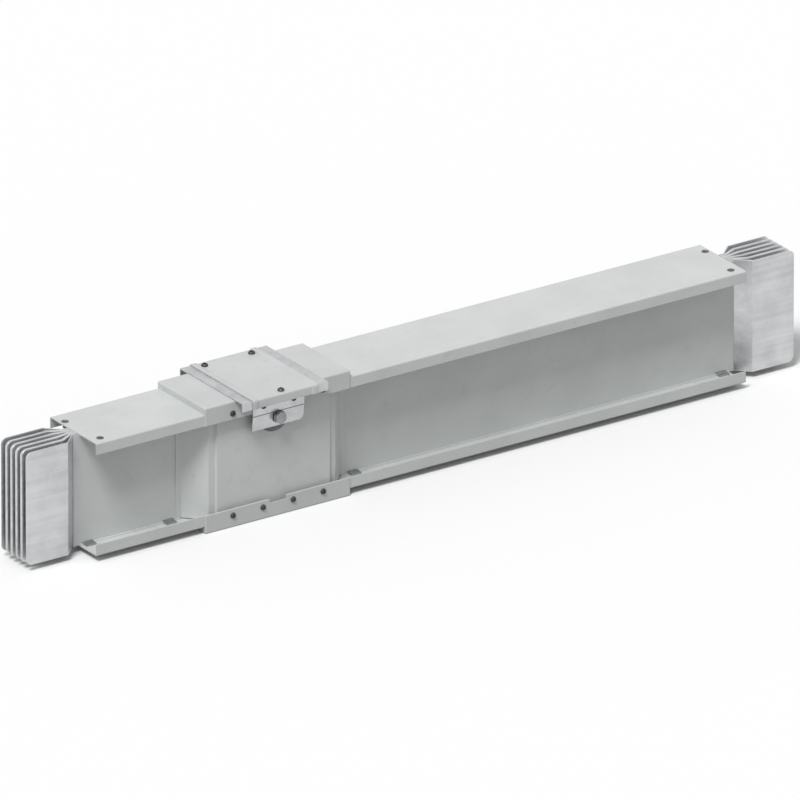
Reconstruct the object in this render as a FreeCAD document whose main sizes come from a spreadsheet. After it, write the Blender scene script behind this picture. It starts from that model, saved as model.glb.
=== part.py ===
import FreeCAD, Part
import os
import re
import Sketcher
from FreeCAD import Placement, Rotation, Vector

# A sandwich busway section: a short and a long length of flat bars clamped between
# two folded channel covers, joined end to end by a bolted joint under a pair of caps.
# X runs along the bars, -Y is the front, +Z is up. The origin is under the middle of
# the whole, on the underside of the bottom cap, which is the lowest face.

# Driving sizes in millimetres. Each is a cell of the sheet, and everything below is bound to it.
SIZES = {
    # The two lengths, measured on their side sheets, and the space between them at the joint.
    "short_length": 202.5,
    "long_length": 793.5,
    "joint_opening": 324,
    "cover_gap": 40,
    # Housing: two channel covers, flanges towards each other.
    "housing_width": 140,
    "housing_height": 205,
    "cover_sheet": 2,
    "cover_flange": 20.5,
    "inner_bend": 0.5,
    # Side sheets with their feet turned out on the covers, and their space to the flared plates.
    "side_sheet": 1.5,
    "side_foot": 4,
    "side_clear": 1,
    # The sandwich: four bars between two earth plates, with film between them.
    "bar_sheet": 6,
    "earth_sheet": 2,
    "film_sheet": 0.6,
    "film_reach": 8,
    # Flared ends of the bars.
    "tab_reach": 120,
    "flare_start": 12,
    "flare_run": 24,
    "tab_pitch": 15,
    "tip_round": 11,
    "cover_clear": 0.5,
    # Threaded inserts near the free ends of the covers, the rear one nearer the end than the front one.
    "insert_rear_from_end": 9.5,
    "insert_rear_edge": 31,
    "insert_front_from_end": 19.5,
    "insert_front_edge": 18,
    "insert_bore": 6,
    "insert_barrel": 8,
    "insert_rim": 13,
    "insert_rim_sheet": 0.8,
    "insert_depth": 11,
    # Clamps that hold the side sheets' feet on the covers.
    "clamp_length": 20,
    "clamp_width": 14,
    "clamp_height": 4.5,
    "clamp_from_end": 6,
    "clamp_from_joint": 14.5,
    # Caps over the joint.
    "cap_length": 294,
    "cap_gap": 10,
    "cap_sheet": 2,
    "cap_notch_width": 33.6,
    "cap_notch_depth": 6.5,
    # Screws through the flanges of the caps.
    "flange_screw_inner": 30.4,
    "flange_screw_outer": 91.2,
    "flange_screw_edge": 9.5,
    "flange_screw_shank": 5,
    "flange_screw_head": 10.5,
    "flange_screw_rise": 3.2,
    "flange_screw_reach": 12,
    # Straps across the top cap and the lid between them.
    "strap_inner": 57,
    "strap_width": 30,
    "strap_sheet": 2,
    "strap_span": 188,
    "strap_drop": 15.4,
    "lid_clear": 1,
    "lid_edge": 10,
    "lid_sheet": 2,
    # Screws of the lid: how far out along the legs under it, and how far in from its joggles.
    "lid_screw_front_share": 0.44,
    "lid_screw_rear_share": 0.25,
    "lid_screw_inset": 8.5,
    "lid_screw_shank": 5,
    "lid_screw_head": 12,
    "lid_screw_rise": 4.5,
    "lid_screw_reach": 12,
    # Lock plate at the front and bracket at the rear, under the lid's edges.
    "lock_half": 51.8,
    "lock_sheet": 2,
    "leg_clear": 2,
    "lock_fold": 25.5,
    "lock_bottom": 53,
    "lock_lean": 3,
    "lock_round_left": 1.5,
    "lock_round_right": 9.5,
    "lock_window_clear": 1,
    "bracket_half": 60,
    "bracket_drop": 18,
    # Side covers of the joint: lap on the side sheets, foot, slope and shoulder,
    # and their places inside the covers.
    "side_cover_sheet": 2,
    "side_cover_lap": 9,
    "side_cover_foot": 11.5,
    "side_cover_slope": 32.5,
    "side_cover_shelf": 12,
    "shoulder_inset": 16,
    "panel_inset": 11,
    # The bolt that clamps the joint, with its washers and nut.
    "bolt_drop": 36,
    "bolt_shank": 14,
    "bolt_across_flats": 20,
    "bolt_head_rise": 15,
    "nut_rise": 12,
    "bolt_tail": 5,
    "bolt_clear": 0.5,
    "flat_washer": 32,
    "flat_washer_sheet": 3,
    "spring_washer": 62,
    "spring_washer_sheet": 2.5,
    "spring_washer_rise": 6,
    # Inside the joint: contact plates, insulators, pressure plates and the bolt's sleeve.
    "contact_length": 168,
    "contact_sheet": 3,
    "contact_margin": 6,
    "insulator_length": 190,
    "insulator_margin": 2,
    "pressure_length": 160,
    "pressure_sheet": 6,
    "pressure_margin": 12,
    "boss_width": 40,
    "sleeve_wall": 4,
}

# Places that several pieces share, in words of the sizes above.
JOINT_X = "(short_length - long_length) / 2"
BASE = "(cap_gap + cap_sheet)"
MIDDLE = f"({BASE} + housing_height / 2)"
TOP = f"({BASE} + housing_height)"
COVER_RUN = "(joint_opening - cover_gap) / 2"
INSIDE_HEIGHT = "(housing_height - 2 * cover_sheet)"
BAR_STEP = "(bar_sheet + film_sheet)"
EARTH_MIDDLE = "(1.5 * film_sheet + 2 * bar_sheet + film_sheet + earth_sheet / 2)"
SHEET_INNER = "(2.5 * film_sheet + 2 * bar_sheet + earth_sheet)"
SHEET_OUTER = f"({SHEET_INNER} + side_sheet)"
CAP_FACE = "(housing_width / 2 + cap_sheet)"
SCREW_LEVEL = f"-({BASE} + flange_screw_edge)"
BOLT_Z = f"({TOP} - bolt_drop)"
STACK_FACE = "(2.5 * tab_pitch + earth_sheet / 2)"
COVER_END = "(joint_opening / 2 + side_cover_lap)"
TOE = f"({COVER_END} - side_cover_foot)"
SHOULDER = f"({TOE} - side_cover_slope)"
STEP = f"({SHOULDER} - side_cover_shelf)"
SHOULDER_FACE = "(housing_width / 2 - shoulder_inset)"
PANEL_FACE = "(housing_width / 2 - panel_inset)"
PANEL_INNER = f"({PANEL_FACE} - side_cover_sheet)"
SEAT = f"({PANEL_FACE} + spring_washer_rise + flat_washer_sheet)"
LID_HALF = "(strap_inner - lid_clear)"
LID_SCREW_X = f"({LID_HALF} - lid_screw_inset)"
LEG_ROOT = f"({CAP_FACE} + lock_sheet)"
LEG_END = "(strap_span / 2 - lid_sheet - leg_clear)"
LID_SCREW_FRONT = f"({LEG_ROOT} + ({LEG_END} - {LEG_ROOT}) * lid_screw_front_share)"
LID_SCREW_REAR = f"({LEG_ROOT} + ({LEG_END} - {LEG_ROOT}) * lid_screw_rear_share)"

doc = FreeCAD.newDocument("busway_section")
sheet = doc.addObject("Spreadsheet::Sheet", "Sizes")
for row, (alias, number) in enumerate(SIZES.items(), start=1):
    sheet.set(f"A{row}", alias)
    sheet.set(f"B{row}", str(number))
    sheet.setAlias(f"B{row}", alias)
doc.recompute()
nodes = []


def bound(text):
    """The same expression with every size's name led by the sheet's name."""
    return re.sub(r"[a-z_]+", lambda word: "Sizes." + word[0] if word[0] in SIZES else word[0], text)


def value(text):
    """The number that an expression in sizes has now."""
    return float(sheet.evalExpression(bound(text)))


def bind(thing, **expressions):
    """Bind plain properties of an object to expressions in sizes."""
    for name, text in expressions.items():
        thing.setExpression(name, bound(text))


def place(thing, x="0", y="0", z="0", turn=None):
    """Turn an object and bind its place."""
    thing.Placement = Placement(Vector(), turn or Rotation())
    for axis, text in (("x", x), ("y", y), ("z", z)):
        thing.setExpression(f"Placement.Base.{axis}", bound(text))


def half_turn(axis):
    """Half a turn about one of the row's axes."""
    return Rotation(axis, 180)


def plane_of(body, role):
    """One of a body's own origin planes."""
    return next(plane for plane in body.Origin.OriginFeatures if plane.Role == role)


def new_body(label):
    """An empty body."""
    body = doc.addObject("PartDesign::Body", label)
    body.Label = label
    return body


def new_sketch(body, role, offset="0"):
    """A sketch on one of the body's own planes, moved off it along its normal."""
    sketch = body.newObject("Sketcher::SketchObject", body.Name + "_sketch")
    sketch.AttachmentSupport = (plane_of(body, role), [""])
    sketch.MapMode = "FlatFace"
    sketch.setExpression("AttachmentOffset.Base.z", bound(offset))
    return sketch


def bind_point(sketch, geometry, position, across, up):
    """Hold one point of a sketch at two bound distances from the sketch's origin."""
    for kind, text in (("DistanceX", across), ("DistanceY", up)):
        number = sketch.addConstraint(
            Sketcher.Constraint(kind, -1, 1, geometry, position, value(text))
        )
        sketch.renameConstraint(number, f"{kind}_{geometry}")
        sketch.setExpression(f"Constraints.{kind}_{geometry}", bound(text))


def add_outline(sketch, corners):
    """A closed outline of straight lines with every corner bound."""
    first = sketch.GeometryCount
    points = [Vector(value(across), value(up), 0) for across, up in corners]
    count = len(points)
    for index, point in enumerate(points):
        sketch.addGeometry(Part.LineSegment(point, points[(index + 1) % count]), False)
    for index in range(count):
        following = first + (index + 1) % count
        sketch.addConstraint(Sketcher.Constraint("Coincident", first + index, 2, following, 1))
    for index, (across, up) in enumerate(corners):
        bind_point(sketch, first + index, 1, across, up)


def add_circle(sketch, across, up, diameter):
    """A circle with its centre and diameter bound."""
    centre = Vector(value(across), value(up), 0)
    circle = sketch.addGeometry(Part.Circle(centre, Vector(0, 0, 1), value(diameter) / 2), False)
    bind_point(sketch, circle, 3, across, up)
    number = sketch.addConstraint(Sketcher.Constraint("Diameter", circle, value(diameter)))
    sketch.renameConstraint(number, f"Diameter_{circle}")
    sketch.setExpression(f"Constraints.Diameter_{circle}", bound(diameter))


def add_rectangle(sketch, left, bottom, right, top):
    """A rectangle with its sides bound."""
    add_outline(sketch, [(left, bottom), (right, bottom), (right, top), (left, top)])


def pad(body, sketch, length):
    """Extrude a sketch along its normal."""
    feature = body.newObject("PartDesign::Pad", body.Name + "_pad")
    feature.Profile = sketch
    bind(feature, Length=length)
    sketch.Visibility = False
    doc.recompute()
    return feature


def pad_along(body, role, corners, start, length):
    """Extrude one outline from a distance off its plane."""
    sketch = new_sketch(body, role, start)
    add_outline(sketch, corners)
    return pad(body, sketch, length)


def cut_through(body, sketch):
    """Cut a sketch through the whole body, both ways, and prove that it took something away."""
    before = body.Shape.Volume
    feature = body.newObject("PartDesign::Pocket", body.Name + "_cut")
    feature.Profile = sketch
    feature.Type = "ThroughAll"
    feature.SideType = "Symmetric"
    sketch.Visibility = False
    doc.recompute()
    if not body.Shape.Volume < before:
        raise RuntimeError(f"{body.Label}: a cut took nothing away")
    return feature


def mirror(body, feature, role):
    """Repeat a feature on the other side of one of the body's planes."""
    copy = body.newObject("PartDesign::Mirrored", body.Name + "_mirror")
    copy.Originals = [feature]
    copy.MirrorPlane = (plane_of(body, role), [""])
    body.Tip = copy
    doc.recompute()
    return copy


def round_edges(body, radius, direction, chosen):
    """Fillet the straight edges along a direction whose middle is chosen."""
    base = body.Tip
    names = []
    for number, edge in enumerate(base.Shape.Edges, start=1):
        ends = [vertex.Point for vertex in edge.Vertexes]
        if len(ends) < 2 or not isinstance(edge.Curve, Part.Line):
            continue
        along = (ends[1] - ends[0]).normalize()
        if abs(abs(along.dot(direction)) - 1) < 1e-6 and chosen(edge.CenterOfMass):
            names.append(f"Edge{number}")
    if not names:
        raise RuntimeError(f"{body.Label}: no edge to round")
    fillet = body.newObject("PartDesign::Fillet", body.Name + "_round")
    fillet.Base = (base, names)
    bind(fillet, Radius=radius)
    doc.recompute()
    return fillet


def near(left, right):
    """Whether two lengths are the same."""
    return abs(left - right) < 1e-4


def fold_edges(body, half_width, top, thickness):
    """Round the two folds of a channel: outside by the sheet and the inner bend, inside by the bend."""
    outer_y, outer_z, gauge = value(half_width), value(top), value(thickness)
    round_edges(
        body, f"{thickness} + inner_bend", Vector(1, 0, 0),
        lambda centre: near(abs(centre.y), outer_y) and near(centre.z, outer_z),
    )
    round_edges(
        body, "inner_bend", Vector(1, 0, 0),
        lambda centre: near(abs(centre.y), outer_y - gauge) and near(centre.z, outer_z - gauge),
    )


def channel_corners(half_width, top, drop, thickness):
    """The section of a channel that opens downwards."""
    inner = f"{half_width} - {thickness}"
    return [
        (f"-({half_width})", top),
        (f"-({half_width})", f"{top} - {drop}"),
        (f"-({inner})", f"{top} - {drop}"),
        (f"-({inner})", f"{top} - {thickness}"),
        (inner, f"{top} - {thickness}"),
        (inner, f"{top} - {drop}"),
        (half_width, f"{top} - {drop}"),
        (half_width, top),
    ]


def node(thing, label):
    """Count an object as a sub-part under its own name."""
    thing.Label = label
    nodes.append(thing)


def primitive(kind, label, x="0", y="0", z="0", turn=None, **expressions):
    """A simple solid with bound sizes and place."""
    solid = doc.addObject(f"Part::{kind}", label)
    bind(solid, **expressions)
    place(solid, x, y, z, turn)
    return solid


def joined(label, solids):
    """Several solids fused into one."""
    fuse = doc.addObject("Part::MultiFuse", label)
    fuse.Shapes = solids
    return fuse


def without(label, solid, tool):
    """A solid with another cut out of it."""
    cut = doc.addObject("Part::Cut", label)
    cut.Base = solid
    cut.Tool = tool
    return cut


def group(label, solids):
    """Like pieces that don't touch, under one name."""
    doc.recompute()
    compound = doc.addObject("Part::Compound", label)
    compound.Links = solids
    node(compound, label)
    return compound


def headed_pin(label, head, rise, shank, reach):
    """A round head on a shank: the head stands on z = 0 and the shank hangs under it."""
    top = primitive("Cylinder", label + "_head", Radius=f"{head} / 2", Height=rise)
    stem = primitive(
        "Cylinder", label + "_shank", z=f"-({reach})", Radius=f"{shank} / 2", Height=f"{reach} + {rise} / 2"
    )
    return joined(label, [top, stem])


# The four ways round that a piece at the front and bottom repeats: front or rear, bottom or top.
QUARTERS = {
    "front_bottom": Rotation(),
    "rear_bottom": half_turn(Vector(0, 0, 1)),
    "front_top": half_turn(Vector(0, 1, 0)),
    "rear_top": half_turn(Vector(1, 0, 0)),
}


def build_cover(section, length, out, middle, level, turn):
    """A folded channel, with the holes of its inserts and flange screws."""
    body = new_body(f"{section}_{level}_cover")
    run = f"({length} + {COVER_RUN})"
    pad_along(
        body, "YZ_Plane", channel_corners("housing_width / 2", "0", "cover_flange", "cover_sheet"),
        f"-{run} / 2", run,
    )
    fold_edges(body, "housing_width / 2", "0", "cover_sheet")
    holes = new_sketch(body, "XY_Plane")
    level_sign = 1 if level == "top" else -1
    for sign, along, across in insert_places(run, out):
        add_circle(holes, along, f"{level_sign * sign} * {across}", "insert_barrel")
    cut_through(body, holes)
    screws = new_sketch(body, "XZ_Plane")
    for distance in ("flange_screw_inner", "flange_screw_outer"):
        along = f"{-out} * ({run} / 2 + cover_gap / 2 - {distance})"
        add_circle(screws, along, "-flange_screw_edge", "flange_screw_shank")
    cut_through(body, screws)
    height = TOP if level == "top" else BASE
    place(body, f"{middle} - {out} * {COVER_RUN} / 2", "0", height, turn)
    node(body, f"{section}_{level}_cover")


def insert_places(run, out):
    """The inserts of a cover: front or rear, the place along it, the distance off the mid-plane."""
    return [
        (sign, f"{out} * ({run} / 2 - insert_{side}_from_end)", f"(housing_width / 2 - insert_{side}_edge)")
        for side, sign in (("front", -1), ("rear", 1))
    ]


def clamp_places(length, out):
    """Where the clamps' middles lie along a section, from the middle of its side sheets."""
    return (
        f"{out} * ({length} / 2 - clamp_from_end - clamp_length / 2)",
        f"{-out} * ({length} / 2 - clamp_from_joint - clamp_length / 2)",
    )


def build_side_sheet(section, length, out, middle, side):
    """A side sheet: flat on the earth plate, feet turned out along its edges, run on to the flare."""
    body = new_body(f"{section}_{side}_side_sheet")
    half = f"{INSIDE_HEIGHT} / 2"
    foot = "-(side_sheet + side_foot)"
    pad_along(
        body, "YZ_Plane",
        [
            ("0", f"-{half}"),
            ("0", half),
            (foot, half),
            (foot, f"{half} - side_sheet"),
            ("-side_sheet", f"{half} - side_sheet"),
            ("-side_sheet", f"-{half} + side_sheet"),
            (foot, f"-{half} + side_sheet"),
            (foot, f"-{half}"),
        ],
        f"-{length} / 2", length,
    )
    sign, turn = (-1, Rotation()) if side == "front" else (1, half_turn(Vector(0, 0, 1)))
    run = "(flare_start - side_clear)"
    start = f"{length} / 2 - side_sheet" if sign != out else f"-({length} / 2 + {run})"
    pad_along(
        body, "YZ_Plane",
        [("0", f"-{half}"), ("0", half), ("-side_sheet", half), ("-side_sheet", f"-{half}")],
        start, f"{run} + side_sheet",
    )
    place(body, middle, f"{sign} * {SHEET_INNER}", MIDDLE, turn)
    node(body, f"{section}_{side}_side_sheet")


def build_plate(label, length, out, middle, sheet_size, straight, tab):
    """A bar or earth plate: straight in the housing, flared at both ends to the tabs' pitch."""
    body = new_body(label)
    half = f"{sheet_size} / 2"
    bend = f"(atan(({tab} - {straight}) / flare_run) / 2)"
    shift = f"({half} * tan({bend}))"
    tip = f"({length} / 2 + tab_reach)"
    flat = f"({length} / 2 + flare_start + flare_run)"
    start = f"({length} / 2 + flare_start)"
    inner = [
        (f"-{tip}", f"{tab} - {half}"),
        (f"-({flat} + {shift})", f"{tab} - {half}"),
        (f"-({start} + {shift})", f"{straight} - {half}"),
    ]
    outer = [
        (f"-({start} - {shift})", f"{straight} + {half}"),
        (f"-({flat} - {shift})", f"{tab} + {half}"),
        (f"-{tip}", f"{tab} + {half}"),
    ]
    right_inner = [(across.replace("-", "", 1), up) for across, up in reversed(inner)]
    right_outer = [(across.replace("-", "", 1), up) for across, up in reversed(outer)]
    corners = inner + right_inner + right_outer + outer
    pad_along(body, "XY_Plane", corners, "-housing_height / 2", "housing_height")
    notch = new_sketch(body, "XZ_Plane")
    joint_end = f"{-out} * ({tip} + cover_clear)"
    free_end = f"{out} * ({length} / 2 + cover_clear)"
    for side in (-1, 1):
        edge = f"{side} * housing_height / 2"
        shoulder = f"{side} * ({INSIDE_HEIGHT} / 2)"
        add_rectangle(notch, joint_end, edge, free_end, shoulder)
    cut_through(body, notch)
    reach = value(tip)
    round_edges(body, "tip_round", Vector(0, 1, 0), lambda centre: near(abs(centre.x), reach))
    place(body, middle, "0", MIDDLE)
    node(body, label)


def build_section(section, length, out):
    """One length of busway: covers, side sheets, sandwich of bars, inserts and clamps."""
    middle = f"({JOINT_X} + {out} * (joint_opening / 2 + {length} / 2))"
    build_cover(section, length, out, middle, "top", Rotation())
    build_cover(section, length, out, middle, "bottom", half_turn(Vector(1, 0, 0)))
    for side in ("front", "rear"):
        build_side_sheet(section, length, out, middle, side)
    for side, sign in (("front", -1), ("rear", 1)):
        for name, sheet_size, straight, tab in (
            ("inner_bar", "bar_sheet", f"{sign} * {BAR_STEP} / 2", f"{sign} * tab_pitch / 2"),
            ("outer_bar", "bar_sheet", f"{sign} * 1.5 * {BAR_STEP}", f"{sign} * 1.5 * tab_pitch"),
            ("earth_plate", "earth_sheet", f"{sign} * {EARTH_MIDDLE}", f"{sign} * 2.5 * tab_pitch"),
        ):
            build_plate(f"{section}_{side}_{name}", length, out, middle, sheet_size, straight, tab)
    films = []
    for step in range(-2, 3):
        films.append(primitive(
            "Box", f"{section}_film", f"{middle} - {length} / 2 - film_reach",
            f"{step} * {BAR_STEP} - film_sheet / 2", f"{BASE} + cover_sheet",
            Length=f"{length} + 2 * film_reach", Width="film_sheet", Height=INSIDE_HEIGHT,
        ))
    group(f"{section}_insulation_films", films)
    build_inserts(section, length, out, middle)
    build_clamps(section, length, out, middle)


def build_inserts(section, length, out, middle):
    """Threaded inserts: a thin rim on the cover's face and a barrel through it, bored through."""
    inserts = []
    cover_middle = f"{middle} - {out} * {COVER_RUN} / 2"
    for level, height, turn in (("top", TOP, Rotation()), ("bottom", BASE, half_turn(Vector(1, 0, 0)))):
        for sign, along, across in insert_places(f"({length} + {COVER_RUN})", out):
            name = f"{section}_insert_{level}"
            rim = primitive("Cylinder", name + "_rim", Radius="insert_rim / 2", Height="insert_rim_sheet")
            barrel = primitive(
                "Cylinder", name + "_barrel", z="-insert_depth", Radius="insert_barrel / 2",
                Height="insert_depth + insert_rim_sheet / 2",
            )
            bore = primitive(
                "Cylinder", name + "_bore", z="-2 * insert_depth", Radius="insert_bore / 2",
                Height="4 * insert_depth",
            )
            insert = without(name, joined(name + "_blank", [rim, barrel]), bore)
            place(insert, f"{cover_middle} + {along}", f"{sign} * {across}", height, turn)
            inserts.append(insert)
    group(f"{section}_inserts", inserts)


def build_clamps(section, length, out, middle):
    """Clamps spot-welded to the covers, each holding a side sheet's foot down."""
    clamps = []
    floor = f"-({INSIDE_HEIGHT} / 2)"
    step = f"-({SHEET_OUTER} + side_foot)"
    edge = f"-({SHEET_OUTER} + clamp_width)"
    for along in clamp_places(length, out):
        for quarter, turn in QUARTERS.items():
            body = new_body(f"{section}_clamp_{quarter}")
            pad_along(
                body, "YZ_Plane",
                [
                    (f"-{SHEET_OUTER}", f"{floor} + side_sheet"),
                    (step, f"{floor} + side_sheet"),
                    (step, floor),
                    (edge, floor),
                    (edge, f"{floor} + clamp_height"),
                    (f"-{SHEET_OUTER}", f"{floor} + clamp_height"),
                ],
                "-clamp_length / 2", "clamp_length",
            )
            place(body, f"{middle} + {along}", "0", MIDDLE, turn)
            clamps.append(body)
    group(f"{section}_foot_clamps", clamps)


def build_cap(level, turn):
    """A cap over the joint: a tray with two flanges over the covers' and a lip at each end."""
    body = new_body(f"{level}_cap")
    drop = f"({BASE} + cover_flange)"
    pad_along(
        body, "YZ_Plane", channel_corners(CAP_FACE, "0", drop, "cap_sheet"), "-cap_length / 2", "cap_length"
    )
    lip = pad_along(
        body, "YZ_Plane",
        [
            (f"-({CAP_FACE} - cap_sheet / 2)", f"-{BASE}"),
            (f"{CAP_FACE} - cap_sheet / 2", f"-{BASE}"),
            (f"{CAP_FACE} - cap_sheet / 2", "-cap_sheet / 2"),
            (f"-({CAP_FACE} - cap_sheet / 2)", "-cap_sheet / 2"),
        ],
        "cap_length / 2 - cap_sheet", "cap_sheet",
    )
    mirror(body, lip, "YZ_Plane")
    fold_edges(body, CAP_FACE, "0", "cap_sheet")
    edge = value("cap_length / 2")
    round_edges(
        body, "cap_sheet + inner_bend", Vector(0, 1, 0),
        lambda centre: near(abs(centre.x), edge) and near(centre.z, 0),
    )
    notch = new_sketch(body, "XZ_Plane")
    add_rectangle(
        notch, "-cap_notch_width / 2", f"-({drop} + cap_notch_depth)", "cap_notch_width / 2",
        f"-({drop} - cap_notch_depth)",
    )
    cut_through(body, notch)
    screws = new_sketch(body, "XZ_Plane")
    for distance in ("flange_screw_inner", "flange_screw_outer"):
        for end in (-1, 1):
            add_circle(screws, f"{end} * {distance}", SCREW_LEVEL, "flange_screw_shank")
    cut_through(body, screws)
    place(body, JOINT_X, "0", f"{TOP} + {BASE}" if level == "top" else "0", turn)
    node(body, f"{level}_cap")


def build_straps():
    """Straps folded down over both edges of the top cap, beside the lid."""
    for side, sign in (("left", -1), ("right", 1)):
        body = new_body(f"{side}_strap")
        pad_along(
            body, "YZ_Plane", channel_corners("strap_span / 2", "strap_sheet", "strap_drop", "strap_sheet"),
            "-strap_width / 2", "strap_width",
        )
        fold_edges(body, "strap_span / 2", "strap_sheet", "strap_sheet")
        place(body, f"{JOINT_X} + {sign} * (strap_inner + strap_width / 2)", "0", f"{TOP} + {BASE}")
        node(body, f"{side}_strap")


def build_lid():
    """The lid: a shallow channel whose two ends are joggled up over the straps."""
    body = new_body("lid")
    pad_along(
        body, "YZ_Plane", channel_corners("strap_span / 2", "lid_sheet", "strap_drop", "lid_sheet"),
        f"-{LID_HALF}", f"2 * {LID_HALF}",
    )
    fold_edges(body, "strap_span / 2", "lid_sheet", "lid_sheet")
    raised = pad_along(
        body, "YZ_Plane",
        channel_corners(
            "(strap_span / 2 + lid_sheet)", "(strap_sheet + lid_sheet)",
            "(strap_drop + lid_sheet)", "lid_sheet",
        ),
        f"{LID_HALF} - lid_sheet", "lid_edge + lid_sheet",
    )
    mirror(body, raised, "YZ_Plane")
    fold_edges(body, "strap_span / 2 + lid_sheet", "strap_sheet + lid_sheet", "lid_sheet")
    holes = new_sketch(body, "XY_Plane")
    add_circle(holes, "0", f"-{LID_SCREW_FRONT}", "lid_screw_shank")
    for end in (-1, 1):
        add_circle(holes, f"{end} * {LID_SCREW_X}", LID_SCREW_REAR, "lid_screw_shank")
    cut_through(body, holes)
    place(body, JOINT_X, "0", f"{TOP} + {BASE}")
    node(body, "lid")


def cut_cap_flange_holes(body):
    """Cut the two inner flange screws' holes in a plate that lies on the top cap's flange."""
    screws = new_sketch(body, "XZ_Plane")
    for end in (-1, 1):
        add_circle(screws, f"{end} * flange_screw_inner", SCREW_LEVEL, "flange_screw_shank")
    cut_through(body, screws)


def build_lock_plate():
    """The lock plate on the top cap's front flange: its leg under the lid, its window round the bolt."""
    body = new_body("lock_plate")
    face = f"-{CAP_FACE}"
    outer = f"-{LEG_ROOT}"
    fold = f"-({BASE} + lock_fold)"
    bottom = f"-({BASE} + lock_bottom)"
    pad_along(
        body, "YZ_Plane",
        [
            (face, "0"),
            (f"-{LEG_END}", "0"),
            (f"-{LEG_END}", "-lock_sheet"),
            (outer, "-lock_sheet"),
            (outer, fold),
            (f"{outer} + lock_lean", bottom),
            (f"{face} + lock_lean", bottom),
            (face, fold),
        ],
        "-lock_half", "2 * lock_half",
    )
    low = value(bottom)
    for radius, end in (("lock_round_left", "-lock_half"), ("lock_round_right", "lock_half")):
        edge = value(end)
        round_edges(
            body, radius, Vector(0, 1, 0), lambda centre: near(centre.x, edge) and near(centre.z, low)
        )
    window = new_sketch(body, "XZ_Plane")
    corner = "((bolt_across_flats / 2 + lock_window_clear) / cos(30))"
    centre = f"-({BASE} + bolt_drop)"
    add_outline(window, [
        (f"{corner} * cos({angle})", f"{centre} + {corner} * sin({angle})") for angle in range(30, 390, 60)
    ])
    cut_through(body, window)
    cut_cap_flange_holes(body)
    leg = new_sketch(body, "XY_Plane")
    add_circle(leg, "0", f"-{LID_SCREW_FRONT}", "lid_screw_shank")
    cut_through(body, leg)
    place(body, JOINT_X, "0", f"{TOP} + {BASE}")
    node(body, "lock_plate")


def build_rear_bracket():
    """The bracket at the rear that takes the lid's two rear screws."""
    body = new_body("rear_bracket")
    pad_along(
        body, "YZ_Plane",
        [
            (CAP_FACE, "0"),
            (LEG_END, "0"),
            (LEG_END, "-lock_sheet"),
            (LEG_ROOT, "-lock_sheet"),
            (LEG_ROOT, f"-({BASE} + bracket_drop)"),
            (CAP_FACE, f"-({BASE} + bracket_drop)"),
        ],
        "-bracket_half", "2 * bracket_half",
    )
    cut_cap_flange_holes(body)
    leg = new_sketch(body, "XY_Plane")
    for end in (-1, 1):
        add_circle(leg, f"{end} * {LID_SCREW_X}", LID_SCREW_REAR, "lid_screw_shank")
    cut_through(body, leg)
    place(body, JOINT_X, "0", f"{TOP} + {BASE}")
    node(body, "rear_bracket")


def build_side_cover(side, turn):
    """A side cover of the joint: feet on the side sheets, slopes, shoulders and a raised panel."""
    body = new_body(f"{side}_side_cover")
    inner = [
        (COVER_END, SHEET_OUTER),
        (TOE, SHEET_OUTER),
        (SHOULDER, f"{SHOULDER_FACE} - side_cover_sheet"),
        (STEP, f"{SHOULDER_FACE} - side_cover_sheet"),
        (f"{STEP} - side_cover_sheet", PANEL_INNER),
    ]
    outer = [
        (f"{STEP} - side_cover_sheet / 2", PANEL_FACE),
        (f"{STEP} + side_cover_sheet / 2", SHOULDER_FACE),
        (f"{SHOULDER} + side_cover_sheet / 2", SHOULDER_FACE),
        (f"{TOE} + side_cover_sheet / 2", f"{SHEET_OUTER} + side_cover_sheet"),
        (COVER_END, f"{SHEET_OUTER} + side_cover_sheet"),
    ]
    right = [(across, f"-({up})") for across, up in inner]
    right_face = [(across, f"-({up})") for across, up in outer]
    left = [(f"-({across})", up) for across, up in reversed(right)]
    left_face = [(f"-({across})", up) for across, up in reversed(right_face)]
    height = f"({INSIDE_HEIGHT} - 2 * side_sheet)"
    pad_along(body, "XY_Plane", right + left + left_face + right_face, f"-{height} / 2", height)
    hole = new_sketch(body, "XZ_Plane")
    add_circle(hole, "0", "housing_height / 2 - bolt_drop", "bolt_shank + 2 * bolt_clear")
    cut_through(body, hole)
    place(body, JOINT_X, "0", MIDDLE, turn)
    node(body, f"{side}_side_cover")


def build_flange_screws():
    """The screws of the caps' flanges, the top inner ones over the lock plate and the bracket."""
    screws = []
    for side in (-1, 1):
        facing = Rotation(Vector(1, 0, 0), 90 * -side)
        for level in (-1, 1):
            for end in (-1, 1):
                for distance in ("flange_screw_inner", "flange_screw_outer"):
                    under = "lock_sheet" if level == 1 and distance == "flange_screw_inner" else "0"
                    screw = headed_pin(
                        "flange_screw", "flange_screw_head", "flange_screw_rise", "flange_screw_shank",
                        f"(flange_screw_reach + {under})",
                    )
                    place(
                        screw, f"{JOINT_X} + {end} * {distance}", f"{side} * ({CAP_FACE} + {under})",
                        f"{MIDDLE} + {level} * (housing_height / 2 - flange_screw_edge)", facing,
                    )
                    screws.append(screw)
    group("flange_screws", screws)


def build_lid_screws():
    """The lid's screws: one at the front into the lock plate, two at the rear into the bracket."""
    screws = []
    for along, across in (
        ("0", f"-{LID_SCREW_FRONT}"), (f"-{LID_SCREW_X}", LID_SCREW_REAR), (LID_SCREW_X, LID_SCREW_REAR),
    ):
        screw = headed_pin(
            "lid_screw", "lid_screw_head", "lid_screw_rise", "lid_screw_shank", "lid_screw_reach"
        )
        place(screw, f"{JOINT_X} + {along}", across, f"{TOP} + {BASE} + lid_sheet")
        screws.append(screw)
    group("lid_screws", screws)


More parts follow.
